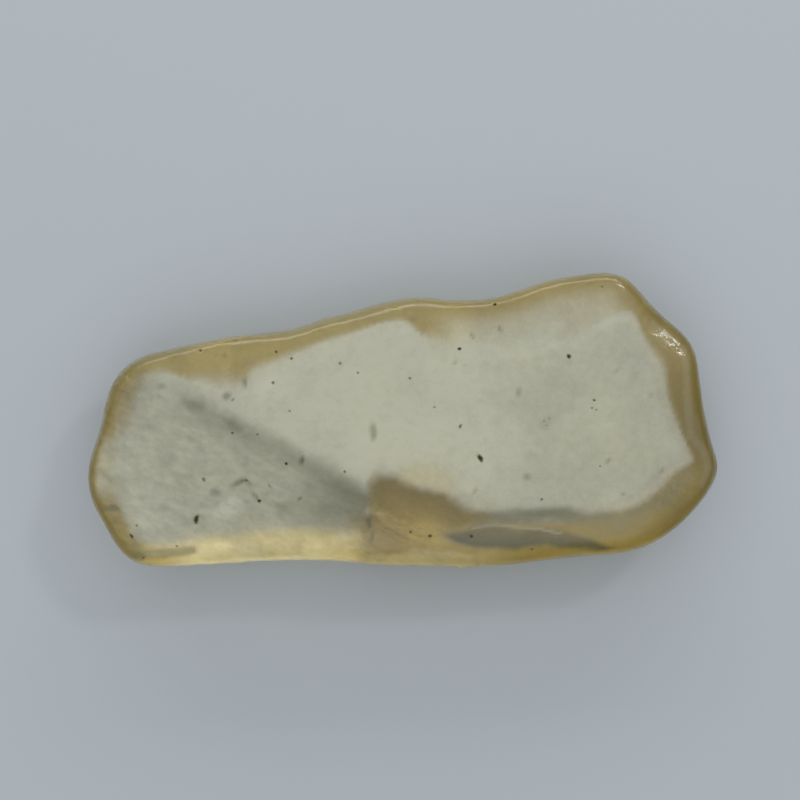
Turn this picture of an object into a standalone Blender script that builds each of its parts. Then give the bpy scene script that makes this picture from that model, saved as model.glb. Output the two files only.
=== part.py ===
"""A pebble of Libyan desert glass: a wind-worn slab of clear straw-yellow natural glass, lying on its back.

It is one piece of glass and so one object. The broad, gently wavy front looks up. Steep bevels all round
narrow the stone to its back, which has a flat table, a tilted facet at the left end, and hollows at the top,
the upper left and the bottom where flakes broke off. It rests on a small flat spot of the table. Millimetres
are used below, and MM turns them into Blender's metres. +X runs along the stone, +Y across it and +Z up.
"""

import math

import bmesh
import bpy
from mathutils import Vector

MM = 0.001

# Driving dimensions
LENGTH = 42.0
THICKNESS = 7.6

# The rim as seen from above, anticlockwise from the left end
RIM = (
    (-21.0, -3.7), (-20.7, -5.3), (-19.9, -6.9), (-18.9, -8.6), (-17.8, -9.5), (-16.2, -9.8), (-13.7, -9.7),
    (-11.0, -9.5), (-7.6, -9.35), (-4.3, -9.45), (-1.4, -9.7), (1.3, -9.8), (3.8, -9.85), (6.5, -9.75),
    (9.2, -9.4), (11.8, -9.1), (14.4, -8.9), (16.4, -8.3), (18.1, -7.2), (19.5, -5.8), (20.5, -4.4),
    (21.0, -3.1), (20.6, -1.7), (20.2, 0.0), (19.9, 1.6), (19.7, 3.2), (19.4, 4.7), (18.6, 5.9), (17.2, 7.1),
    (15.9, 8.5), (14.9, 9.5), (13.6, 9.9), (11.8, 9.75), (9.5, 9.35), (7.5, 8.65), (5.5, 8.15), (3.1, 8.1),
    (0.8, 8.3), (-1.6, 7.9), (-3.6, 7.3), (-5.3, 6.9), (-6.9, 6.3), (-8.6, 6.0), (-11.0, 5.7), (-13.7, 5.2),
    (-15.7, 4.8), (-17.3, 4.4), (-18.5, 3.7), (-19.4, 2.6), (-19.9, 1.2), (-20.2, -0.4), (-20.7, -2.0),
)

# The back bevel at places on the rim: how far in it begins, and how high it has risen at the rim
BACK_BEVEL = (
    ((-21.0, -3.7), 2.1, 3.2),
    ((-18.9, -8.6), 1.8, 2.8),
    ((-15.6, -9.75), 2.1, 2.5),
    ((-13.0, -9.65), 2.6, 2.7),
    ((-7.6, -9.35), 2.9, 3.0),
    ((-2.9, -9.6), 3.0, 3.3),
    ((-1.9, -9.7), 6.4, 4.9),
    ((1.9, -9.8), 6.0, 5.2),
    ((6.5, -9.75), 3.9, 4.8),
    ((10.0, -9.3), 3.1, 4.4),
    ((14.4, -8.9), 3.4, 4.7),
    ((19.5, -5.8), 3.4, 4.7),
    ((21.0, -3.1), 2.3, 3.8),
    ((20.2, 0.0), 2.4, 4.0),
    ((19.7, 3.2), 3.0, 4.4),
    ((18.6, 5.9), 2.9, 4.4),
    ((15.9, 8.5), 1.9, 3.6),
    ((13.6, 9.9), 3.9, 4.3),
    ((9.5, 9.35), 5.2, 4.3),
    ((6.5, 8.3), 5.2, 4.3),
    ((4.0, 8.05), 4.6, 4.2),
    ((1.8, 8.2), 3.6, 4.0),
    ((-0.2, 8.15), 1.7, 3.0),
    ((-6.9, 6.3), 2.0, 3.0),
    ((-9.8, 5.85), 2.9, 3.7),
    ((-11.7, 5.6), 4.3, 4.7),
    ((-13.7, 5.2), 3.2, 4.0),
    ((-16.5, 4.7), 1.7, 2.8),
    ((-18.5, 3.7), 1.6, 2.7),
    ((-20.0, 0.6), 1.5, 2.6),
)

# The front bevel at places on the rim: how far in it begins, and how far it has dropped at the rim
FRONT_BEVEL = (
    ((-21.0, -3.7), 1.0, 0.5),
    ((-16.2, -9.8), 1.4, 0.9),
    ((-4.3, -9.45), 1.8, 1.1),
    ((6.5, -9.75), 2.6, 1.3),
    ((14.4, -8.9), 2.2, 1.0),
    ((21.0, -3.1), 1.4, 0.6),
    ((19.7, 3.2), 1.2, 0.7),
    ((17.2, 7.1), 2.0, 0.9),
    ((13.6, 9.9), 1.0, 0.4),
    ((0.8, 8.3), 0.8, 0.4),
    ((-18.5, 3.7), 1.2, 0.5),
)

# How far in the rounding of the rim reaches, as a share of the rim's height there
RIM_ROUNDING = 0.2

# The front's wind-worn waves: direction in degrees, length from crest to crest, depth, and phase in degrees
FRONT_WAVES = ((20, 17.0, 0.16, 40), (78, 11.5, 0.12, 205), (134, 13.5, 0.10, 310))

# The middle line that every ring of the mesh closes in on, and the places on the rim where the two long sides
# end: bottom left, bottom right, top right and top left
SPINE = (Vector((-13.2, -2.4)), Vector((12.6, 0.2)))
CORNERS = ((-13.4, -9.7), (12.8, -9.0), (12.6, 9.9), (-13.7, 5.2))

# The flat spot that the stone rests on, as an ellipse, and how much the table curves up around it
FLAT_SPOT = Vector((3.5, 0.2))
FLAT_SPOT_HALF = Vector((5.5, 2.3))
TABLE_CURVE = 0.0025

# The tilted facet at the left of the back: two points of its ridge, and its slope
LEFT_FACET_RIDGE = (Vector((-15.9, 3.3)), Vector((-2.6, -4.0)))
LEFT_FACET_SLOPE = math.radians(11)

# How much height the worn rounding of a ridge spans: between facet and table, and at the start of a bevel
RIDGE_SOFTNESS = 0.5
BEVEL_SOFTNESS = 0.5

# A bevel's profile: the share of its height that rises as a straight slope, and the power by which the rest
# steepens towards the rim
STRAIGHT_SHARE = 0.48
STEEPENING = 2.4

# Mesh counts: columns along each long side, fan lines round each end, and rings from the rim to the spine,
# which crowd towards the rim. Points nearer than MERGE_DISTANCE are one.
SIDE_COLUMNS = 38
END_FANS = 36
RINGS = 16
RING_CROWDING = 1.35
MERGE_DISTANCE = 0.001

# The glass: its colour, the matt skin that the wind left, and its index of refraction
GLASS_COLOUR = (0.86, 0.79, 0.50, 1.0)
GLASS_ROUGHNESS = 0.2
GLASS_IOR = 1.46


def catmull_rom(points, samples_per_span):
    """A closed smooth curve through the points, as a list of vectors."""
    curve = []
    count = len(points)
    for i in range(count):
        a, b, c, d = (Vector(points[(i + k) % count]) for k in (-1, 0, 1, 2))
        for step in range(samples_per_span):
            t = step / samples_per_span
            bend = (c - a) * t + (2 * a - 5 * b + 4 * c - d) * t**2 + (3 * b - a - 3 * c + d) * t**3
            curve.append(b + bend / 2)
    return curve


class Rim:
    """The closed rim curve, read by the share of its length."""

    def __init__(self):
        self.points = catmull_rom(RIM, 12)
        self.reach = [0.0]
        for i, point in enumerate(self.points):
            following = self.points[(i + 1) % len(self.points)]
            self.reach.append(self.reach[-1] + (following - point).length)

    def share_at(self, place):
        """The share of the rim's length at its point nearest to place."""
        nearest = min(range(len(self.points)), key=lambda i: (self.points[i] - Vector(place)).length)
        return self.reach[nearest] / self.reach[-1]

    def point_at(self, share):
        """The rim's point at a share of its length."""
        wanted = (share % 1.0) * self.reach[-1]
        low, high = 0, len(self.points)
        while high - low > 1:
            middle = (low + high) // 2
            if self.reach[middle] <= wanted:
                low = middle
            else:
                high = middle
        following = self.points[(low + 1) % len(self.points)]
        span = self.reach[low + 1] - self.reach[low]
        return self.points[low].lerp(following, (wanted - self.reach[low]) / span)


def around(rim, table):
    """Turns rows of (place on the rim, value, value) into a smooth function of the rim's share."""
    rows = sorted((rim.share_at(place), Vector(values)) for place, *values in table)

    def values_at(share):
        share %= 1.0
        for i, (start, here) in enumerate(rows):
            end, there = rows[(i + 1) % len(rows)]
            end += 1.0 if i + 1 == len(rows) else 0.0
            shifted = share + 1.0 if share < rows[0][0] else share
            if start <= shifted <= end:
                t = (shifted - start) / (end - start)
                return here.lerp(there, t * t * (3 - 2 * t))
        raise ValueError("the share lies in no span")

    return values_at


def soft_max(a, b, width):
    """The larger of two heights, with the ridge between them rounded over width."""
    near = max(width - abs(a - b), 0.0) / width
    return max(a, b) + near * near * width / 4


def table_height(place):
    """Height of the back's table: flat at the resting spot, and curving gently up around it."""
    offset = place - FLAT_SPOT
    reach = Vector((offset.x / FLAT_SPOT_HALF.x, offset.y / FLAT_SPOT_HALF.y)).length
    if reach <= 1.0:
        return 0.0
    beyond = offset.length * (1 - 1 / reach)
    return TABLE_CURVE * beyond**2


def left_facet_height(place):
    """Height of the tilted facet, which is below zero on the table's side of its ridge."""
    start, end = LEFT_FACET_RIDGE
    along = (end - start).normalized()
    away = place - start
    return (away.y * along.x - away.x * along.y) * -math.tan(LEFT_FACET_SLOPE)


def bevel(inward, width, height):
    """Height of a bevel at a distance in from the rim: it starts worn and steepens towards the rim."""
    share = 1 - inward / width
    steepening = (1 - STRAIGHT_SHARE) * max(share, 0.0) ** STEEPENING
    return soft_max(0.0, height * (STRAIGHT_SHARE * share + steepening), BEVEL_SOFTNESS)


def rounded(inward, reach):
    """From 0 at the rim to 1 where its rounding ends, as a quarter of an ellipse."""
    share = min(inward / reach, 1.0)
    return math.sqrt(share * (2 - share))


def front_waves(place):
    """How far the front lies below its highest level at a place."""
    depth = 0.0
    for direction, length, deepest, phase in FRONT_WAVES:
        angle = math.radians(direction)
        travel = (place.x * math.cos(angle) + place.y * math.sin(angle)) / length
        depth += deepest * (1 + math.sin(math.tau * travel + math.radians(phase))) / 2
    return depth


def back_height(place, inward, width, rise):
    base = soft_max(table_height(place), left_facet_height(place), RIDGE_SOFTNESS)
    return base + bevel(inward, width, rise)


def front_height(place, inward, width, drop):
    return THICKNESS - front_waves(place) - bevel(inward, width, drop)


def section(place, inward, back, front, rim_back, rim_front):
    """The heights of the back and of the front at a place, both drawn together at the rounded rim."""
    middle = (rim_back + rim_front) / 2
    swell = rounded(inward, (rim_front - rim_back) * RIM_ROUNDING)
    return (
        middle + (back_height(place, inward, *back) - middle) * swell,
        middle + (front_height(place, inward, *front) - middle) * swell,
    )


def columns(rim):
    """(share of the rim, point of the spine) for each line of the mesh that runs in from the rim."""
    left, right = SPINE
    corners = [rim.share_at(place) for place in CORNERS]
    runs = (
        (corners[0], corners[1], left, right, SIDE_COLUMNS),
        (corners[1], corners[2], right, right, END_FANS),
        (corners[2], corners[3], right, left, SIDE_COLUMNS),
        (corners[3], corners[0] + 1, left, left, END_FANS),
    )
    lines = []
    for start, end, first_foot, last_foot, count in runs:
        for step in range(count):
            t = step / count
            lines.append((start + (end - start) * t, first_foot.lerp(last_foot, t)))
    return lines


def straw_glass():
    """The stone's material: clear straw-yellow glass with a fine matt skin."""
    material = bpy.data.materials.new("desert_glass")
    material.use_nodes = True
    shader = material.node_tree.nodes["Principled BSDF"]
    shader.inputs["Base Color"].default_value = GLASS_COLOUR
    shader.inputs["Roughness"].default_value = GLASS_ROUGHNESS
    shader.inputs["Metallic"].default_value = 0.0
    shader.inputs["IOR"].default_value = GLASS_IOR
    shader.inputs["Transmission Weight"].default_value = 1.0
    return material


def ring_points(rim, lines, back_bevel, front_bevel, share_in):
    """The (back, front) points of one ring, a share of the way in along each line."""
    points = []
    for share, foot in lines:
        edge = rim.point_at(share)
        way = foot - edge
        inward = way.length * share_in
        place = edge + way * share_in
        back, front = back_bevel(share), front_bevel(share)
        rim_back = back_height(edge, 0.0, *back)
        rim_front = front_height(edge, 0.0, *front)
        low, high = section(place, inward, back, front, rim_back, rim_front)
        points.append((place.to_3d() + Vector((0, 0, low)), place.to_3d() + Vector((0, 0, high))))
    return points


def set_size(mesh):
    """Scales the mesh to LENGTH in metres, with the middle of its box's underside at the origin."""
    low = Vector([min(v.co[axis] for v in mesh.verts) for axis in range(3)])
    high = Vector([max(v.co[axis] for v in mesh.verts) for axis in range(3)])
    scale = MM * LENGTH / (high.x - low.x)
    foot = Vector(((low.x + high.x) / 2, (low.y + high.y) / 2, low.z))
    for vertex in mesh.verts:
        vertex.co = (vertex.co - foot) * scale


def build_stone():
    """Lays rings of points on the back and on the front, from the rim to the spine, and joins them."""
    rim = Rim()
    lines = columns(rim)
    back_bevel = around(rim, BACK_BEVEL)
    front_bevel = around(rim, FRONT_BEVEL)
    mesh = bmesh.new()
    back_rings, front_rings = [], []
    for ring in range(RINGS + 1):
        points = ring_points(rim, lines, back_bevel, front_bevel, (ring / RINGS) ** RING_CROWDING)
        back_rings.append([mesh.verts.new(back) for back, front in points])
        front_rings.append([mesh.verts.new(front) for back, front in points] if ring else back_rings[0])
    for rings, turned in ((back_rings, True), (front_rings, False)):
        for outer, inner in zip(rings, rings[1:]):
            for i in range(len(lines)):
                j = (i + 1) % len(lines)
                corners = [outer[i], outer[j], inner[j], inner[i]]
                mesh.faces.new(corners[::-1] if turned else corners)
    bmesh.ops.remove_doubles(mesh, verts=mesh.verts, dist=MERGE_DISTANCE)
    bmesh.ops.recalc_face_normals(mesh, faces=mesh.faces)
    set_size(mesh)
    data = bpy.data.meshes.new("libyan_desert_glass")
    mesh.to_mesh(data)
    mesh.free()
    data.shade_smooth()
    data.materials.append(straw_glass())
    stone = bpy.data.objects.new("libyan_desert_glass", data)
    bpy.context.scene.collection.objects.link(stone)


for leftover in list(bpy.data.objects):
    bpy.data.objects.remove(leftover)

build_stone()
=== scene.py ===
"""The looks of a wind-worn slab of Libyan desert glass, which lies on its back on a pale floor."""

import math

import bpy
import numpy
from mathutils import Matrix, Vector, kdtree, noise
from mathutils.bvhtree import BVHTree


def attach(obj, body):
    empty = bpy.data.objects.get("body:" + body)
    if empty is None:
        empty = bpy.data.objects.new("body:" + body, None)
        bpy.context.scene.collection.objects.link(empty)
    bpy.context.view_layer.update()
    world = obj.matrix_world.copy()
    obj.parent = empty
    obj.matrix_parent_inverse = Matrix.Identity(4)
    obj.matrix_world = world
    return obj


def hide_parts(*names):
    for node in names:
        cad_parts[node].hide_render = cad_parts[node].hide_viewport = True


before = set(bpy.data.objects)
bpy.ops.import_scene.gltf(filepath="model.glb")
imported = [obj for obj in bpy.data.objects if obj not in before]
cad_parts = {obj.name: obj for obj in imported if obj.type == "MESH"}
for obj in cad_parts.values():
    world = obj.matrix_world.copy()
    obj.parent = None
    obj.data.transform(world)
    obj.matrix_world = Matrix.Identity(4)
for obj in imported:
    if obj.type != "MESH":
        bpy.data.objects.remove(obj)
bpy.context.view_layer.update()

# The stone
# One piece of clear straw-yellow natural glass with a matt skin, worn smooth by blown sand. Its form is the
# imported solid's, laid out in even quads and rounded. The orange-peel skin and the wind pits are then carved in.
MM = 0.001
STONE_NODE = "libyan_desert_glass"
VOXEL = 0.34 * MM
EVEN_OUT = 0.5
EVEN_OUT_ROUNDS = 4
SAME_POINT = 0.001 * MM

bpy.ops.object.select_all(action="DESELECT")
stone = bpy.data.objects.new("desert_glass_stone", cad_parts[STONE_NODE].data.copy())
bpy.context.scene.collection.objects.link(stone)
bpy.context.view_layer.objects.active = stone
stone.select_set(True)
stone.data.materials.clear()
bpy.ops.object.mode_set(mode="EDIT")
bpy.ops.mesh.select_all(action="SELECT")
bpy.ops.mesh.remove_doubles(threshold=SAME_POINT)
bpy.ops.object.mode_set(mode="OBJECT")

even = stone.modifiers.new("even quads", "REMESH")
even.mode = "VOXEL"
even.voxel_size = VOXEL
bpy.ops.object.modifier_apply(modifier=even.name)
worn = stone.modifiers.new("worn", "SMOOTH")
worn.factor = EVEN_OUT
worn.iterations = EVEN_OUT_ROUNDS
bpy.ops.object.modifier_apply(modifier=worn.name)
rounded = stone.modifiers.new("rounded", "SUBSURF")
rounded.levels = rounded.render_levels = 1
bpy.ops.object.modifier_apply(modifier=rounded.name)

# The wind pits of the front: place (x, y), half length, half width, turn in degrees, depth, and how dark the
# dust in it is, from 0 to 1. They were drilled by sand where the glass had bubbles. Sizes are in millimetres.
WIND_PITS = (
    (-13.61, -6.52, 0.36, 0.18, 80, 0.26, 1.0),
    (5.01, -2.49, 0.34, 0.17, -55, 0.26, 1.0),
    (10.85, 4.20, 0.20, 0.16, -70, 0.16, 1.0),
    (-17.91, -7.62, 0.20, 0.11, -60, 0.12, 1.0),
    (3.66, 4.70, 0.15, 0.15, 0, 0.14, 1.0),
    (5.99, 7.68, 0.13, 0.13, 0, 0.12, 1.0),
    (-7.36, 4.07, 0.12, 0.12, 0, 0.09, 0.9),
    (-8.37, 4.50, 0.11, 0.11, 0, 0.08, 0.8),
    (-4.17, 3.75, 0.12, 0.12, 0, 0.09, 0.8),
    (-3.00, 3.12, 0.11, 0.11, 0, 0.08, 0.7),
    (0.41, 2.78, 0.12, 0.11, 0, 0.08, 0.8),
    (2.02, 0.87, 0.10, 0.10, 0, 0.08, 0.7),
    (-8.58, 2.49, 0.12, 0.12, 0, 0.08, 0.8),
    (-7.49, 0.60, 0.10, 0.10, 0, 0.08, 0.7),
    (3.73, -0.40, 0.18, 0.10, 70, 0.10, 0.8),
    (-7.71, -2.84, 0.13, 0.13, 0, 0.12, 1.0),
    (-3.87, -3.37, 0.11, 0.11, 0, 0.09, 0.9),
    (-13.14, -3.89, 0.20, 0.12, -60, 0.10, 0.75),
    (-9.48, -5.30, 0.14, 0.12, 20, 0.12, 1.0),
    (1.75, -7.61, 0.14, 0.11, 0, 0.10, 1.0),
    (4.46, -7.64, 0.12, 0.11, 0, 0.09, 0.9),
    (0.49, -7.33, 0.10, 0.10, 0, 0.08, 0.8),
    (8.45, -8.53, 0.11, 0.11, 0, 0.08, 0.8),
    (9.08, -5.19, 0.12, 0.10, 20, 0.08, 0.8),
    (12.89, -2.99, 0.10, 0.09, 0, 0.08, 0.7),
    (-11.26, -0.83, 0.12, 0.11, 0, 0.09, 0.8),
    (-9.62, -0.92, 0.13, 0.08, 10, 0.08, 0.8),
    (-13.36, 4.62, 0.12, 0.11, 0, 0.09, 0.9),
    (-14.90, -8.27, 0.11, 0.10, 0, 0.08, 0.8),
    (-17.54, -6.91, 0.10, 0.10, 0, 0.08, 0.7),
    (-17.17, -9.10, 0.18, 0.09, 40, 0.08, 0.7),
    (12.52, 1.32, 0.14, 0.10, -30, 0.09, 0.9),
    (12.36, 0.82, 0.12, 0.08, 0, 0.08, 0.7),
    (12.64, 0.70, 0.09, 0.08, 0, 0.08, 0.6),
    (9.21, -0.05, 0.08, 0.07, 0, 0.06, 0.6),
    (9.55, 0.12, 0.08, 0.07, 0, 0.06, 0.5),
    (9.40, -0.32, 0.08, 0.07, 0, 0.06, 0.5),
    (13.06, 8.80, 0.10, 0.09, 0, 0.07, 0.7),
    (-8.82, -4.31, 0.20, 0.08, -50, 0.07, 0.5),
    (-10.35, -3.94, 0.13, 0.10, 30, 0.09, 0.8),
    (-10.58, -4.40, 0.80, 0.45, 25, 0.16, 0.0),
    (-10.70, -5.55, 0.90, 0.40, -25, 0.10, 0.0),
    (-19.00, -6.00, 0.60, 0.35, 0, 0.10, 0.0),
)
PIT_MESH_REACH = 2.2
PIT_MESH_CUTS = 3
PIT_FACES_UP = 0.3
FINE_PIT = 0.5

bpy.ops.object.mode_set(mode="EDIT")
bpy.ops.mesh.select_all(action="DESELECT")
bpy.ops.mesh.select_mode(type="FACE")
bpy.ops.object.mode_set(mode="OBJECT")
fine_pits = [pit for pit in WIND_PITS if pit[2] < FINE_PIT]
for face in stone.data.polygons:
    if face.normal.z > PIT_FACES_UP:
        x, y, _ = face.center / MM
        face.select = any(math.hypot(x - pit[0], y - pit[1]) < PIT_MESH_REACH * pit[2] for pit in fine_pits)
bpy.ops.object.mode_set(mode="EDIT")
bpy.ops.mesh.subdivide(number_cuts=PIT_MESH_CUTS)
bpy.ops.object.mode_set(mode="OBJECT")

# The skin's relief: the size of its waves and how deep they are, in millimetres. Sand blew along the left
# facet, where the waves are stretched and deeper.
SKIN_WAVES = ((2.6, 0.030), (1.1, 0.026), (0.45, 0.012))
GRAZED_DEEPER = 1.9
GRAZED_ALONG = Vector((0.93, -0.36))
GRAZED_STRETCH = 1.8
GRAZED_EDGE = (-1.0, 2.0)
LEFT_RIDGE = (Vector((-15.9, 3.3)), Vector((-2.6, -4.0)))
FRONT_FACES_UP = (0.2, 0.6)


def soft_edge(outside, inside, value):
    """0 at the outside value and beyond it, 1 at the inside value and beyond it, and soft between them."""
    t = numpy.clip((value - outside) / (inside - outside), 0.0, 1.0)
    return t * t * (3 - 2 * t)


def beside_left_ridge(x, y):
    """Distance from the left facet's ridge in millimetres, above zero on the facet's side."""
    along = (LEFT_RIDGE[1] - LEFT_RIDGE[0]).normalized()
    return (x - LEFT_RIDGE[0].x) * along.y - (y - LEFT_RIDGE[0].y) * along.x


def skin_depth(point, grazed):
    """How deep the skin lies below its crests at a point, in millimetres."""
    along = point.x * GRAZED_ALONG.x + point.y * GRAZED_ALONG.y
    across = point.y * GRAZED_ALONG.x - point.x * GRAZED_ALONG.y
    drawn_out = Vector((along / GRAZED_STRETCH, across, point.z))
    depth = 0.0
    for length, deepest in SKIN_WAVES:
        plain, streaked = noise.noise(point / length), noise.noise(drawn_out / length)
        wave = (1 - grazed) * plain + grazed * GRAZED_DEEPER * streaked
        depth += deepest * (0.5 - 0.5 * wave)
    return depth


mesh = stone.data
places = numpy.array([v.co for v in mesh.vertices]) / MM
normals = numpy.array([v.normal for v in mesh.vertices])
x, y = places[:, 0], places[:, 1]
on_front = soft_edge(*FRONT_FACES_UP, normals[:, 2])
grazed = soft_edge(*GRAZED_EDGE, beside_left_ridge(x, y)) * on_front
carved = -numpy.array([skin_depth(Vector(place), share) for place, share in zip(places, grazed)])

# The pits. Their walls, lips and dust are measured from the middle of a pit, with 1 at its edge.
PIT_WALL = (0.2, 1.1)
PIT_LIP = 0.05
PIT_LIP_AT = 1.4
PIT_LIP_WIDTH = 0.3
PIT_DUST_EDGE = (0.95, 0.5)
PIT_RAGGED = 0.25
PIT_RAGGED_SIZE = 0.12
LONG_PIT = 1.7
LONG_PIT_BOW = 0.45
LONG_PIT_BOW_BACK = 0.4
dust = numpy.zeros(len(places))
ragged = numpy.array([noise.noise(Vector(place) / PIT_RAGGED_SIZE) for place in places])
for pit_x, pit_y, half_length, half_width, turn, depth, darkness in WIND_PITS:
    close = numpy.hypot(x - pit_x, y - pit_y) < PIT_MESH_REACH * half_length
    near = numpy.flatnonzero(close & (on_front > 0))
    angle = math.radians(turn)
    aside, up = x[near] - pit_x, y[near] - pit_y
    along = (aside * math.cos(angle) + up * math.sin(angle)) / half_length
    across = (up * math.cos(angle) - aside * math.sin(angle)) / half_width
    if half_length > LONG_PIT * half_width:
        across += LONG_PIT_BOW * (along**2 - LONG_PIT_BOW_BACK)
    out = numpy.hypot(along, across) + PIT_RAGGED * ragged[near]
    lip = PIT_LIP * numpy.exp(-(((out - PIT_LIP_AT) / PIT_LIP_WIDTH) ** 2))
    carved[near] += depth * (lip - 1 + soft_edge(*PIT_WALL, out))
    dust[near] = numpy.maximum(dust[near], darkness * soft_edge(*PIT_DUST_EDGE, out))

# How steep the back is below each place, and how far each place is from the rim as seen from above.
RIM_UPRIGHT = 0.12
stone_tree = BVHTree.FromPolygons([v.co for v in mesh.vertices], [p.vertices for p in mesh.polygons])
slopes = []
for place in places:
    below, normal, _, _ = stone_tree.ray_cast(Vector((place[0], place[1], -1.0)) * MM, Vector((0, 0, 1)))
    slopes.append(math.degrees(math.acos(min(max(-normal.z, 0.0), 1.0))) if below else 90.0)
slope = numpy.array(slopes)
rim_places = places[numpy.abs(normals[:, 2]) < RIM_UPRIGHT]
rim_tree = kdtree.KDTree(len(rim_places))
for i, place in enumerate(rim_places):
    rim_tree.insert((place[0], place[1], 0), i)
rim_tree.balance()
from_rim = numpy.array([rim_tree.find((place[0], place[1], 0))[2] for place in places])

# How the colour is painted on the stone's skin. Where the back is steep the light runs far through the glass and
# comes out golden, deepest along the rim's two ends, and gold is painted there. Along the left facet the skin
# carries painted shade, along the lower right bevel a smoky grey band, over the lower hollow brown painted shade,
# and by the lower left edge cream painted light. Outlines and lines are in millimetres.
BROWN_HOLLOW = (
    (-2.25, -4.10), (-1.58, -3.70), (-0.57, -3.83), (0.30, -4.30), (1.44, -4.57), (2.59, -4.97),
    (3.60, -5.51), (4.60, -6.12), (5.28, -6.65), (4.13, -6.99), (2.45, -7.19), (0.57, -6.99),
    (-0.57, -6.50), (-1.71, -6.10), (-2.20, -5.30),
)
CREAM_LOBE = (
    (-0.57, -3.23), (1.11, -2.89), (2.45, -3.09), (3.26, -3.90), (2.92, -4.84), (1.44, -4.57),
    (-0.24, -4.03),
)
SLIVER = (
    (2.12, -7.39), (5.14, -6.99), (6.15, -6.85), (7.22, -6.99), (8.84, -7.00), (10.60, -7.22),
    (12.60, -7.75), (14.20, -8.42), (13.20, -8.67), (11.46, -8.60), (9.31, -8.40), (7.22, -8.67),
    (5.14, -8.60), (3.39, -8.20),
)
SLIVER_CREST = ((4.60, -7.08), (6.15, -6.85), (7.22, -6.99), (8.84, -7.12), (10.30, -7.45))
DARK_LINE = ((-18.20, -8.95), (-15.60, -8.74), (-13.90, -8.55))
SMOKY_LINE = (
    (5.10, -6.65), (6.50, -6.52), (7.80, -6.32), (9.50, -6.15), (11.20, -6.38), (12.90, -6.60),
    (14.50, -6.65), (16.20, -5.90), (17.60, -4.84), (18.70, -3.60),
)
CREASE = ((18.60, 4.80), (18.70, 0.90), (18.90, -1.00), (19.80, -2.10), (20.10, -3.20), (19.70, -4.20))

# Soft oval spots: place (x, y), half length, half width, turn in degrees, and strength from 0 to 1. The first
# are stains under the skin, grouped from the upper left to the right, and the wider ones after them painted shade
# that makes it uneven.
STAINS_AND_SHADE_SPOTS = (
    (-10.45, 2.45, 0.36, 0.16, 90, 0.45),
    (-11.60, 1.55, 0.32, 0.28, 0, 0.45),
    (-11.20, 1.30, 0.10, 0.10, 0, 0.60),
    (-11.73, 4.34, 0.20, 0.16, 0, 0.35),
    (-12.10, 5.55, 0.14, 0.12, 0, 0.40),
    (-11.05, 5.30, 0.12, 0.12, 0, 0.45),
    (-15.10, 4.24, 0.22, 0.14, 0, 0.20),
    (-15.80, 2.28, 0.40, 0.22, 20, 0.25),
    (-13.88, 0.94, 0.90, 0.45, -15, 0.30),
    (-11.10, -0.35, 0.70, 0.40, -25, 0.22),
    (-1.92, -0.74, 0.65, 0.26, 86, 0.40),
    (-6.72, -2.66, 0.34, 0.20, 80, 0.70),
    (-6.82, -5.14, 0.26, 0.16, 45, 0.50),
    (-2.25, -6.72, 0.40, 0.16, 88, 0.85),
    (-2.10, -7.66, 0.38, 0.15, 80, 0.50),
    (-19.20, -5.73, 0.60, 0.24, -5, 0.50),
    (-12.40, -4.75, 0.34, 0.40, 60, 0.32),
    (-10.90, -4.10, 0.60, 0.22, 28, 0.42),
    (-9.75, -4.98, 0.55, 0.16, -52, 0.38),
    (-7.70, -5.60, 0.90, 0.30, -12, 0.25),
    (0.70, 6.60, 0.28, 0.14, -30, 0.25),
    (4.50, 5.54, 0.26, 0.12, -60, 0.40),
    (6.42, 5.98, 0.22, 0.10, -50, 0.50),
    (3.37, 3.87, 0.22, 0.12, 10, 0.25),
    (7.55, 1.90, 0.40, 0.20, 80, 0.30),
    (9.35, -0.10, 0.60, 0.45, 40, 0.14),
    (4.69, -4.64, 0.28, 0.12, 80, 0.25),
    (8.10, -3.76, 0.30, 0.26, 0, 0.35),
    (13.50, -2.70, 0.22, 0.14, 70, 0.30),
    (14.43, -4.76, 0.18, 0.14, 0, 0.35),
    (16.95, -3.34, 0.24, 0.14, 85, 0.30),
    (13.98, 3.25, 0.30, 0.16, 30, 0.18),
    (16.30, 1.63, 0.26, 0.14, -60, 0.18),
    (-18.00, -4.00, 1.20, 0.70, 0, 0.12),
    (-13.40, -5.30, 1.10, 0.60, 0, 0.10),
    (-6.60, -6.10, 2.60, 0.90, 0, 0.18),
    (-4.30, -7.25, 1.30, 0.60, 0, 0.12),
    (-0.10, -7.30, 1.50, 0.45, 0, 0.10),
    (10.00, -6.70, 1.30, 0.28, 0, 0.25),
    (13.60, -7.20, 2.40, 0.60, 8, 0.16),
)
PALE_SPOTS = ((-11.5, -5.7, 1.1, 0.45, 25, 0.9), (-19.1, -6.3, 0.45, 0.22, 0, 0.8))
GOLDEN_SPOTS = (
    (11.9, 6.7, 2.3, 0.9, 28, 0.35),
    (15.9, 6.1, 1.0, 0.5, -60, 0.35),
    (-7.2, 5.8, 1.2, 0.6, 15, 0.40),
)
SPOT_EDGE = (1.35, 0.35)
STAIN_AND_SHADE_DARKER = 1.5
DARKEST_STAIN_AND_SHADE = 0.95


def distance_from(line, x, y):
    """How far places lie from a line through points, in millimetres."""
    nearest = numpy.full(len(x), numpy.inf)
    for (ax, ay), (bx, by) in zip(line, line[1:]):
        way_x, way_y = bx - ax, by - ay
        along = numpy.clip(((x - ax) * way_x + (y - ay) * way_y) / (way_x**2 + way_y**2), 0, 1)
        nearest = numpy.minimum(nearest, numpy.hypot(x - ax - way_x * along, y - ay - way_y * along))
    return nearest


def depth_inside(outline, x, y):
    """How deep places lie inside a closed outline, in millimetres, and below zero outside it."""
    within = numpy.zeros(len(x), bool)
    for (ax, ay), (bx, by) in zip(outline, outline[1:] + outline[:1]):
        spans = (ay > y) != (by > y)
        within ^= spans & (x < ax + (y - ay) * (bx - ax) / (by - ay if by != ay else 1))
    off = distance_from(outline + outline[:1], x, y)
    return numpy.where(within, off, -off)


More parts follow.
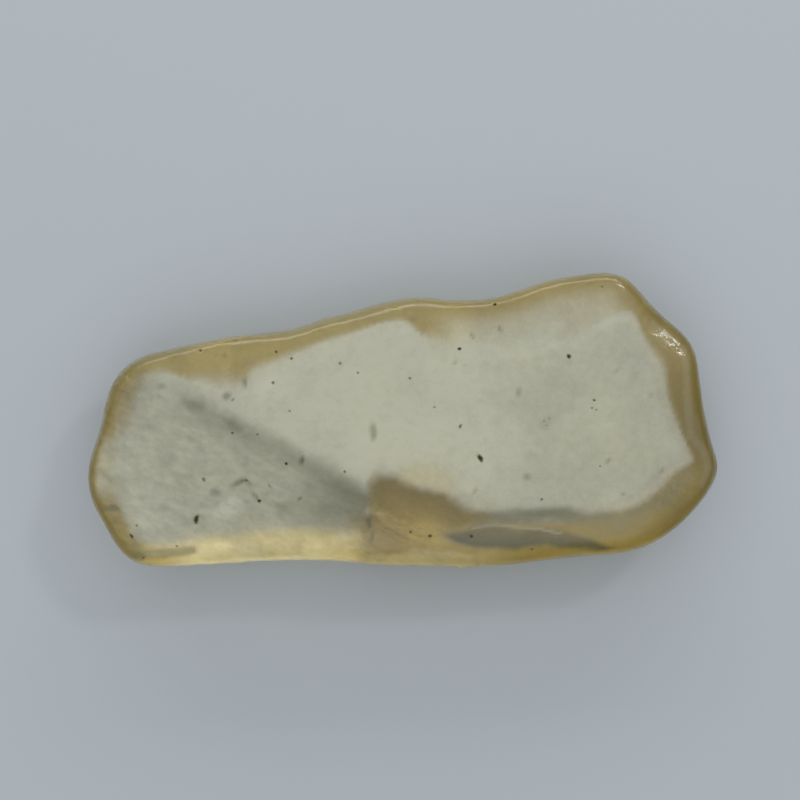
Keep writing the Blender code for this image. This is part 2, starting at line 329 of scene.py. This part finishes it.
def spots(rows, x, y):
    """How strong soft oval spots are at places, the strongest where they overlap."""
    share = numpy.zeros(len(x))
    for spot_x, spot_y, half_length, half_width, turn, strength in rows:
        angle = math.radians(turn)
        along = ((x - spot_x) * math.cos(angle) + (y - spot_y) * math.sin(angle)) / half_length
        across = ((y - spot_y) * math.cos(angle) - (x - spot_x) * math.sin(angle)) / half_width
        share = numpy.maximum(share, strength * soft_edge(*SPOT_EDGE, numpy.hypot(along, across)))
    return share


# The edges of the zones wander by a few tenths of a millimetre, so that none looks ruled: u and v are x and y
# with the whole wander. The rows are the size of a wander's bend and its reach.
EDGE_WANDER = ((1.6, 0.30), (0.5, 0.12))
WANDER_APART = (Vector((9.3, -1.5, -8.0)), Vector((-3.7, 14.2, 5.1)))
SLIVER_WANDER = 0.4
STAIN_AND_SHADE_WANDER = 0.5
RIM_WANDER = 0.6
STONE_MIDDLE_X = -1
SLIVER_MIDDLE_X = 7
SLIVER_TILT = 0.04


def stray(place, bend):
    """How a zone's edge strays at a place, in x and y, where its bends have that size."""
    return [noise.noise(Vector(place) / bend + apart) for apart in WANDER_APART]


wander = sum(reach * numpy.array([stray(place, bend) for place in places]) for bend, reach in EDGE_WANDER)
u, v = x + wander[:, 0], y + wander[:, 1]
sliver_x, sliver_y = x + SLIVER_WANDER * wander[:, 0], y + SLIVER_WANDER * wander[:, 1]
stain_and_shade_x, stain_and_shade_y = x + STAIN_AND_SHADE_WANDER * wander[:, 0], y + STAIN_AND_SHADE_WANDER * wander[:, 1]
measures = {
    "x": x,
    "y": y,
    "u": u,
    "v": v,
    "slope": slope,
    "from rim": from_rim,
    "from wandering rim": from_rim + RIM_WANDER * wander[:, 0],
    "from middle": numpy.abs(x - STONE_MIDDLE_X),
    "beside ridge": beside_left_ridge(u, v),
    "inside hollow": depth_inside(BROWN_HOLLOW, u, v),
    "inside lobe": depth_inside(CREAM_LOBE, u, v),
    "inside sliver": depth_inside(SLIVER, sliver_x, sliver_y),
    "up the sliver": y + SLIVER_TILT * (x - SLIVER_MIDDLE_X),
    "from smoky line": distance_from(SMOKY_LINE, u, v),
    "from dark line": distance_from(DARK_LINE, x, y),
    "from crest": distance_from(SLIVER_CREST, x, y),
    "from crease": distance_from(CREASE, x, y),
}

# The zones: how strong each is, and its soft edges, given as what is measured, where the zone ends, and where
# it is full. Slopes are in degrees and all else in millimetres.
FAINT_GOLD = (0.08, ("slope", 8, 18))
FULL_GOLD = (0.92, ("slope", 28, 50))
UPPER_LEFT_GOLD = (0.85, ("from rim", 2.6, 1.4), ("u", -16.4, -17.8), ("v", -1.8, 0.8))
LEFT_OF_HOLLOW = (1.0, ("u", -5.0, -3.8), ("x", -2.15, -2.45), ("v", -8.2, -7.2), ("v", -4.2, -5.0))
PALER_LEFT_END = (0.7, ("u", -18.0, -19.2), ("v", -5.6, -4.4), ("v", -0.4, -1.6), ("from rim", 0.3, 0.9))
PALER_SCOOP = (0.6, ("u", 1.5, 4.0), ("u", 15.5, 13.0), ("v", 3.0, 5.0), ("from rim", 0.6, 1.9))
DEEP_GOLD_ENDS = (1.0, ("from wandering rim", 1.25, 0.35), ("from middle", 12, 19), ("y", -9.6, -6.5))
LESS_DEEP_LEFT = (0.6, ("x", -12.0, -18.0))
LOWER_RIGHT = (1.0, ("x", -1.0, 8.0), ("y", 6.0, 1.0))
LEFT_FACET = (1.0, ("beside ridge", -0.7, 1.0), ("slope", 62, 30), ("x", -1.8, -2.3))
DARKER_ALONG_RIDGE = (0.40, ("u", -16.0, -12.0))
DARKER_TOWARDS_HOLLOW = (0.48, ("u", -9.0, -3.0), ("v", -2.0, -5.5))
RIGHT_SHADE = (0.22, ("u", 4.0, 9.0), ("slope", 25, 10))
SMOKY_BEVEL = (0.9, ("from smoky line", 0.9, 0.1))
DARK_EDGE = (0.95, ("from dark line", 0.50, 0.12), ("x", -19.0, -17.0))
GREY_SLIVER = (0.8, ("inside sliver", -0.12, 0.35))
SLIVER_FOOT = (0.2, ("inside sliver", -0.12, 0.35), ("up the sliver", -7.2, -8.3))
HOLLOW = (1.0, ("inside hollow", -0.65, 0.35))
BELOW_HOLLOW = (0.95, ("u", 7.0, 1.5), ("v", -5.9, -6.6))
SOFTER_WALL = (2.0, ("v", -5.2, -6.4))
CREAM_EDGE = (1.0, ("v", -6.8, -8.8), ("u", -17.0, -14.0), ("u", 0.5, -7.0))
CREAM_FOOT = (0.5, ("v", -8.4, -9.0), ("u", -5.0, -2.0), ("u", 9.0, 2.0))
CREAM_OVER_HOLLOW = (0.8, ("inside lobe", -0.6, 0.6))
CREST_PAINTED_HIGHLIGHT = (0.25, ("from crest", 0.13, 0.03))
CREASE_PAINTED_HIGHLIGHT = (0.15, ("from crease", 0.45, 0.05))


def zone(row):
    """How strong a zone is at each place."""
    strength, *edges = row
    share = numpy.full(len(places), float(strength))
    for measure, outside, inside in edges:
        share *= soft_edge(outside, inside, measures[measure])
    return share


# Gold is painted on the skin for light that runs far through the glass; deep gold darkens it further as painted
# shade.
# Gold. It is thinned out left of the hollow, at the left end and in the scoop of the upper side, where the
# photograph shows the back's slope without it.
GOLD_GONE_LEFT_OF_HOLLOW = 0.9
GOLD_UNDER_SLIVER = 0.6
LOWER_RIGHT_DEEP_GOLD = 0.9
left_of_hollow = zone(LEFT_OF_HOLLOW)
left_end = zone(PALER_LEFT_END)
golden = numpy.maximum(zone(FAINT_GOLD) + zone(FULL_GOLD), zone(UPPER_LEFT_GOLD))
golden *= (1 - GOLD_GONE_LEFT_OF_HOLLOW * left_of_hollow) * (1 - left_end)
golden *= 1 - zone(PALER_SCOOP)
# On the lower right the gold is deepened and browned as painted shade.
lower_right = golden * zone(LOWER_RIGHT)
deep_gold = zone(DEEP_GOLD_ENDS) * (1 - zone(LESS_DEEP_LEFT))
deep_gold = numpy.maximum(deep_gold, LOWER_RIGHT_DEEP_GOLD * lower_right) * (1 - left_end)
golden = numpy.maximum(golden, spots(GOLDEN_SPOTS, u, v))

# Painted shade. The left facet is darkest just inside its ridge and towards the hollow, and stops at the
# hollow's wall.
FACET_SHADE = 0.42
RIDGE_BAND_AT = 0.9
RIDGE_BAND_WIDTH = 1.2
SHADE_LEFT_OF_HOLLOW = 0.70
PAINTED_SHADE_DEPTH = 0.72
ridge_band = numpy.exp(-(((measures["beside ridge"] - RIDGE_BAND_AT) / RIDGE_BAND_WIDTH) ** 2))
facet = FACET_SHADE + zone(DARKER_ALONG_RIDGE) * ridge_band + zone(DARKER_TOWARDS_HOLLOW)
facet *= zone(LEFT_FACET)
shade = numpy.maximum.reduce([facet, SHADE_LEFT_OF_HOLLOW * left_of_hollow, zone(RIGHT_SHADE)])
shade *= PAINTED_SHADE_DEPTH * (1 - spots(PALE_SPOTS, u, v))
# A smoky grey band along the lower right bevel and a dark line by the lower left edge join the painted shade.
smoky_bevel = zone(SMOKY_BEVEL)
dark_line = zone(DARK_EDGE) * on_front
grey_and_painted_shade = numpy.clip(numpy.maximum.reduce([shade, smoky_bevel, dark_line]), 0, 1)
sliver = (zone(GREY_SLIVER) + zone(SLIVER_FOOT)) * on_front
golden *= 1 - GOLD_UNDER_SLIVER * sliver

# Brown painted shade over the hollow, whose left wall is sharp at its top and softer below, and cream painted
# light under it.
HOLLOW_WALL = (-2.6, -2.2)
LOWER_RIGHT_BROWN = 0.9
LESS_BROWN_ON_SMOKY_BEVEL = 0.5
brown_painted_shade = numpy.maximum(zone(HOLLOW), zone(BELOW_HOLLOW))
brown_painted_shade *= soft_edge(HOLLOW_WALL[0] - zone(SOFTER_WALL), HOLLOW_WALL[1], x)
brown_painted_shade = numpy.maximum(brown_painted_shade, LOWER_RIGHT_BROWN * lower_right * (1 - LESS_BROWN_ON_SMOKY_BEVEL * smoky_bevel))
# Cream painted light by the lower left edge and along the foot, and a cream lobe over the hollow.
cream_and_painted_light = numpy.maximum.reduce([zone(CREAM_EDGE), zone(CREAM_FOOT), zone(CREAM_OVER_HOLLOW)])
cream_and_painted_light *= 1 - dark_line
# Painted highlights along the sliver's crest and along the crease near the right end.
painted_highlight = numpy.maximum(zone(CREST_PAINTED_HIGHLIGHT), zone(CREASE_PAINTED_HIGHLIGHT)) * on_front
# Stains under the skin, and painted shade from the wider spots.
stain_and_shade = numpy.minimum(STAIN_AND_SHADE_DARKER * spots(STAINS_AND_SHADE_SPOTS, stain_and_shade_x, stain_and_shade_y), DARKEST_STAIN_AND_SHADE) * on_front

shares = {
    "golden": golden,
    "deep_gold": deep_gold,
    "grey_and_painted_shade": grey_and_painted_shade,
    "brown_painted_shade": brown_painted_shade,
    "cream_and_painted_light": cream_and_painted_light,
    "sliver": sliver,
    "painted_highlight": painted_highlight,
    "stain_and_shade": stain_and_shade,
    "dust": dust,
    "grazed": grazed,
}
for name, values in shares.items():
    attribute = mesh.attributes.new(name, "FLOAT", "POINT")
    attribute.data.foreach_set("value", values.astype(numpy.float32))
worn_places = (places + normals * carved[:, None]) * MM
mesh.vertices.foreach_set("co", worn_places.astype(numpy.float32).ravel())
mesh.update()
mesh.shade_smooth()

# Straw glass: the matt skin blurs what lies behind it, and the deeper the glass, the more golden it is. A thin
# sheen lies on the skin, but not on the dust in the pits.
GLASS_IOR = 1.46
GLASS_VEIL = 0.24
SHEEN = 0.6
SHEEN_ROUGHNESS = 0.09
GOLDEN_ABSORPTION = (0.93, 0.78, 0.05, 1.0)
ABSORPTION_PER_METRE = 24.0
CLEAR_SKIN = (1.0, 1.0, 0.86, 1.0)
# Of these colours, gold stands in for the light's long run through the glass, deep gold, the smoky grey and brown
# for painted shade, cream for painted light and pale for painted highlights; stain is both stains and painted
# shade.
SKIN_COLOURS = (
    ("golden", (0.58, 0.455, 0.15, 1.0)),
    ("deep_gold", (0.42, 0.31, 0.06, 1.0)),
    ("grey_and_painted_shade", (0.25, 0.245, 0.13, 1.0)),
    ("brown_painted_shade", (0.33, 0.235, 0.03, 1.0)),
    ("cream_and_painted_light", (1.0, 0.92, 0.62, 1.0)),
    ("sliver", (0.055, 0.06, 0.02, 1.0)),
    ("painted_highlight", (0.95, 0.93, 0.80, 1.0)),
    ("stain_and_shade", (0.12, 0.12, 0.06, 1.0)),
    ("dust", (0.020, 0.014, 0.008, 1.0)),
)


def add_node(tree, kind, at, **settings):
    """A new node of that kind at a place in the editor, with its settings."""
    node = tree.nodes.new(kind)
    node.location = at
    for name, value in settings.items():
        setattr(node, name, value)
    return node


glass = bpy.data.materials.new("straw desert glass")
glass.use_nodes = True
tree = glass.node_tree
shader = tree.nodes["Principled BSDF"]
output = tree.nodes["Material Output"]
shader.location = (1500, 300)
output.location = (1900, 300)
shader.inputs["IOR"].default_value = GLASS_IOR
shader.inputs["Transmission Weight"].default_value = 1 - GLASS_VEIL
shader.inputs["Coat Roughness"].default_value = SHEEN_ROUGHNESS
shader.inputs["Coat IOR"].default_value = GLASS_IOR
absorption = add_node(tree, "ShaderNodeVolumeAbsorption", (1500, -500))
absorption.inputs["Color"].default_value = GOLDEN_ABSORPTION
absorption.inputs["Density"].default_value = ABSORPTION_PER_METRE
tree.links.new(absorption.outputs["Volume"], output.inputs["Volume"])

colour = None
for step, (name, skin_colour) in enumerate(SKIN_COLOURS):
    share = add_node(tree, "ShaderNodeAttribute", (-1700 + 300 * step, 500), attribute_name=name)
    mix = add_node(tree, "ShaderNodeMix", (-1500 + 300 * step, 350), data_type="RGBA")
    mix.inputs["B"].default_value = skin_colour
    tree.links.new(share.outputs["Fac"], mix.inputs["Factor"])
    if colour is None:
        mix.inputs["A"].default_value = CLEAR_SKIN
    else:
        tree.links.new(colour, mix.inputs["A"])
    colour = mix.outputs["Result"]

# The grain of the skin, from cloudy patches down to sand grains: the size of a feature in millimetres, how much
# it lightens or darkens the glass, and how far it lifts the skin for the bump, in millimetres. Where the grain
# lifts the skin it also lightens it, so beside the grain's own tone its hollows carry painted shade. The skin is
# smoother where the grain is light.
GRAIN = ((4.0, 0.16, 0.000), (1.3, 0.12, 0.030), (0.5, 0.12, 0.016), (0.17, 0.10, 0.006))
GRAZED_GRAIN = ((0.9, 0.28, 0.060), (0.35, 0.22, 0.024))
GRAZED_TURN = math.radians(-21)
GRAIN_DETAIL = 1.5
GRAIN_LIGHTNESS = (0.85, 1.15)
SKIN_ROUGHNESS = (0.36, 0.28)
where = add_node(tree, "ShaderNodeTexCoord", (-2600, -300))
drawn_out = add_node(tree, "ShaderNodeMapping", (-2400, -700), vector_type="TEXTURE")
drawn_out.inputs["Rotation"].default_value = (0, 0, GRAZED_TURN)
drawn_out.inputs["Scale"].default_value = (GRAZED_STRETCH, 1.0, 1.0)
tree.links.new(where.outputs["Object"], drawn_out.inputs["Vector"])
grazed_share = add_node(tree, "ShaderNodeAttribute", (-2400, -1100), attribute_name="grazed")


def add_maths(operation, at, a, b):
    """A maths node of two values, each a socket or a number."""
    node = add_node(tree, "ShaderNodeMath", at, operation=operation)
    for socket, value in zip(node.inputs, (a, b)):
        if isinstance(value, (int, float)):
            socket.default_value = value
        else:
            tree.links.new(value, socket)
    return node.outputs["Value"]


dusty = add_node(tree, "ShaderNodeAttribute", (500, 900), attribute_name="dust")
dulled = add_maths("MULTIPLY", (700, 900), dusty.outputs["Fac"], SHEEN)
tree.links.new(add_maths("SUBTRACT", (900, 900), SHEEN, dulled), shader.inputs["Coat Weight"])

lightness, height = 1.0, 0.0
rows = [(row, where.outputs["Object"], None) for row in GRAIN]
rows += [(row, drawn_out.outputs["Vector"], grazed_share.outputs["Fac"]) for row in GRAZED_GRAIN]
for step, ((size, shade, lift), source, weight) in enumerate(rows):
    at = -300 - 260 * step
    grain = add_node(tree, "ShaderNodeTexNoise", (-2100, at))
    grain.inputs["Scale"].default_value = 1 / (size * MM)
    grain.inputs["Detail"].default_value = GRAIN_DETAIL
    tree.links.new(source, grain.inputs["Vector"])
    wave = add_maths("SUBTRACT", (-1900, at), grain.outputs["Fac"], 0.5)
    if weight is not None:
        wave = add_maths("MULTIPLY", (-1700, at), wave, weight)
    lightness = add_maths("ADD", (-1300, at), add_maths("MULTIPLY", (-1500, at), wave, 2 * shade), lightness)
    height = add_maths("ADD", (-900, at), add_maths("MULTIPLY", (-1100, at), wave, 2 * lift * MM), height)

grained = add_node(tree, "ShaderNodeMix", (1100, 350), data_type="RGBA", blend_type="MULTIPLY")
grained.inputs["Factor"].default_value = 1.0
tree.links.new(colour, grained.inputs["A"])
tree.links.new(lightness, grained.inputs["B"])
tree.links.new(grained.outputs["Result"], shader.inputs["Base Color"])
bump = add_node(tree, "ShaderNodeBump", (1100, -300))
bump.inputs["Distance"].default_value = 1.0
tree.links.new(height, bump.inputs["Height"])
tree.links.new(bump.outputs["Normal"], shader.inputs["Normal"])
tree.links.new(bump.outputs["Normal"], shader.inputs["Coat Normal"])
matt = add_node(tree, "ShaderNodeMapRange", (700, -100))
matt.inputs["From Min"].default_value, matt.inputs["From Max"].default_value = GRAIN_LIGHTNESS
matt.inputs["To Min"].default_value, matt.inputs["To Max"].default_value = SKIN_ROUGHNESS
tree.links.new(lightness, matt.inputs["Value"])
tree.links.new(matt.outputs["Result"], shader.inputs["Roughness"])
stone.data.materials.append(glass)

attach(stone, "root")
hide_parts(STONE_NODE)

# The floor
# A plain sheet of pale grey-blue paper, wide enough to fill the view from any side. It is the stage and no part
# of the stone.
FLOOR_SIZE = 1.6
FLOOR_GAP = 0.03 * MM
FLOOR_COLOUR = (0.43, 0.46, 0.49, 1.0)
FLOOR_ROUGHNESS = 0.7

bpy.ops.object.select_all(action="DESELECT")
bpy.ops.mesh.primitive_plane_add(size=FLOOR_SIZE, location=(0, 0, -FLOOR_GAP))
floor = bpy.context.object
floor.name = "floor"
paper = bpy.data.materials.new("pale paper")
paper.use_nodes = True
paper_shader = paper.node_tree.nodes["Principled BSDF"]
paper_shader.inputs["Base Color"].default_value = FLOOR_COLOUR
paper_shader.inputs["Roughness"].default_value = FLOOR_ROUGHNESS
floor.data.materials.append(paper)

# The light
# A soft white tent all round, brightest overhead. A long low softbox lights the stone from beyond its upper
# side, a wide one fills in from the lower side, and a small one makes the glint on the upper right bevel. The
# rows are a softbox's name, place, width, depth and power.
TENT_COLOUR = (0.93, 0.97, 1.0, 1.0)
TENT_LEVELS = ((0.0, 0.14), (0.35, 0.26), (0.75, 0.74), (0.97, 1.1))
SOFTBOXES = (
    ("softbox", (0.0, 0.32, 0.14), 0.5, 0.12, 0.6),
    ("fill softbox", (0.0, -0.2, 0.36), 0.3, 0.3, 0.18),
    ("small softbox", (0.175, 0.170, 0.27), 0.035, 0.035, 0.12),
)

world = bpy.data.worlds.new("light tent")
world.use_nodes = True
bpy.context.scene.world = world
tent = world.node_tree
background = tent.nodes["Background"]
background.inputs["Color"].default_value = TENT_COLOUR
direction = add_node(tent, "ShaderNodeTexCoord", (-900, 0))
split = add_node(tent, "ShaderNodeSeparateXYZ", (-700, 0))
ramp = add_node(tent, "ShaderNodeValToRGB", (-500, 0))
while len(ramp.color_ramp.elements) < len(TENT_LEVELS):
    ramp.color_ramp.elements.new(0.5)
for element, (height, level) in zip(ramp.color_ramp.elements, TENT_LEVELS):
    element.position = height
    element.color = (level, level, level, 1.0)
tent.links.new(direction.outputs["Generated"], split.inputs["Vector"])
tent.links.new(split.outputs["Z"], ramp.inputs["Fac"])
tent.links.new(ramp.outputs["Color"], background.inputs["Strength"])

for name, place, width, depth, energy in SOFTBOXES:
    bpy.ops.object.light_add(type="AREA", location=place)
    softbox = bpy.context.object
    softbox.name = name
    softbox.data.shape = "RECTANGLE"
    softbox.data.size = width
    softbox.data.size_y = depth
    softbox.data.energy = energy
    softbox.rotation_euler = (-softbox.location).to_track_quat("-Z", "Y").to_euler()

# The camera
# It looks straight down on the stone's broad front, with the stone where the photograph has it in the frame.
PHOTO_SIDE = 800
STONE_LENGTH = 42 * MM
LENGTH_IN_PHOTO = 625
STONE_MIDDLE_IN_PHOTO = (403.5, 420)
LENS = 100
SENSOR = 36
STONE_FRONT = 4 * MM
CLIP_START = 0.01

pixel = STONE_LENGTH / LENGTH_IN_PHOTO
view_width = PHOTO_SIDE * pixel
distance = view_width * LENS / SENSOR
camera_data = bpy.data.cameras.new("camera")
camera = bpy.data.objects.new("camera", camera_data)
bpy.context.scene.collection.objects.link(camera)
camera_data.lens = LENS
camera_data.sensor_width = SENSOR
camera_data.clip_start = CLIP_START
camera.location = (
    (PHOTO_SIDE / 2 - STONE_MIDDLE_IN_PHOTO[0]) * pixel,
    (STONE_MIDDLE_IN_PHOTO[1] - PHOTO_SIDE / 2) * pixel,
    distance + STONE_FRONT,
)
bpy.context.scene.camera = camera
bpy.context.scene.view_settings.view_transform = "Standard"
